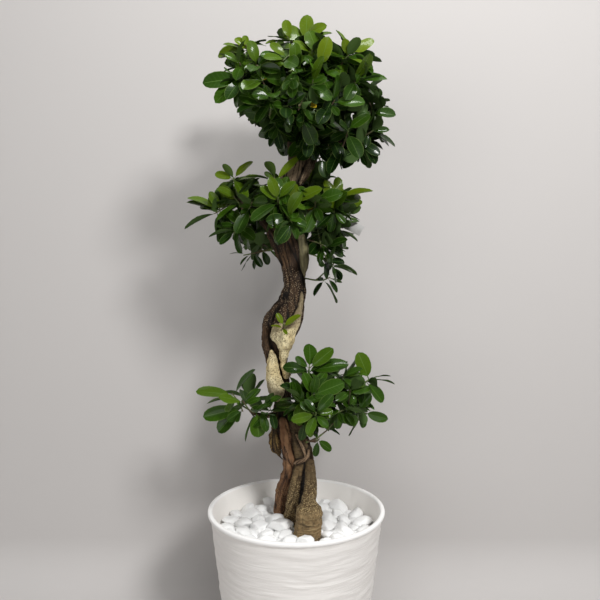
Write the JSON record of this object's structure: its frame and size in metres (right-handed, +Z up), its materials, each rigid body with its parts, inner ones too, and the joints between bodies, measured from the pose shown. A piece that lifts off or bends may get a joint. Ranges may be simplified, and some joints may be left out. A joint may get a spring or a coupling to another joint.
{
  "type": "potted chinese banyan",
  "caption": "Fig tree with twisted, fused stems and three separate tiers of glossy leaves, standing in a round white planter topped with white pebbles.",
  "frame": {"origin": "centre of the planter's flat underside, in the plane it stands on", "axes": "+Z up, from the planter's foot to the crown; -Y is the front, and +X is the right side seen from the front"},
  "size_m": [0.3513, 0.3185, 1.0862],
  "materials": {
    "white_planter": "matte",
    "potting_soil": "matte",
    "white_pebbles": "satin",
    "reddish_bark": "matte",
    "golden_bark": "matte",
    "dark_bark": "matte",
    "cream_bark": "satin",
    "olive_bark": "matte",
    "leaf_green": "gloss",
    "young_leaf": "satin",
    "blank_label": "matte"
  },
  "bodies": {
    "root": {"aerial_root": "cream_bark", "burl_root": "golden_bark", "knot_sprig": "young_leaf", "limb_lower_left": "dark_bark", "limb_lower_right": "dark_bark", "limb_middle_back": "dark_bark", "limb_middle_front": "dark_bark", "limb_middle_left": "reddish_bark", "limb_middle_right": "dark_bark", "limb_top_back": "dark_bark", "limb_top_front": "dark_bark", "limb_top_left": "dark_bark", "limb_top_low_right": "dark_bark", "limb_top_right": "dark_bark", "lower_branch_back_right": "leaf_green", "lower_branch_far_right": "leaf_green", "lower_branch_front": "leaf_green", "lower_branch_left": "leaf_green", "lower_branch_low_left": "leaf_green", "lower_branch_red_twig": "leaf_green", "lower_branch_right": "leaf_green", "lower_branch_upper_right": "leaf_green", "main_trunk": "dark_bark", "middle_branch_back": "leaf_green", "middle_branch_back_left": "leaf_green", "middle_branch_front": "leaf_green", "middle_branch_hanging": "leaf_green", "middle_branch_left": "leaf_green", "middle_branch_low_left": "leaf_green", "middle_branch_right": "leaf_green", "middle_branch_sprig": "leaf_green", "middle_branch_upper_front": "leaf_green", "middle_branch_upper_right": "leaf_green", "neck_stem": "dark_bark", "olive_stem": "olive_bark", "pale_stem_lower": "cream_bark", "pale_stem_upper": "cream_bark", "pebble_bed": "white_pebbles", "plant_label": "blank_label", "planter": "white_planter", "potting_soil": "potting_soil", "stem_centre": "golden_bark", "stem_left": "reddish_bark", "stem_right": "golden_bark", "top_branch_back": "leaf_green", "top_branch_back_low": "leaf_green", "top_branch_back_right": "leaf_green", "top_branch_crown": "leaf_green", "top_branch_crown_back": "leaf_green", "top_branch_front": "leaf_green", "top_branch_hanging": "leaf_green", "top_branch_left": "leaf_green", "top_branch_low_front": "leaf_green", "top_branch_low_left": "leaf_green", "top_branch_low_right": "leaf_green", "top_branch_right": "leaf_green", "top_branch_right_front": "leaf_green", "top_branch_upper_front": "leaf_green", "top_branch_upper_left": "leaf_green", "wrapping_stem": "dark_bark"}
  },
  "joints": []
}
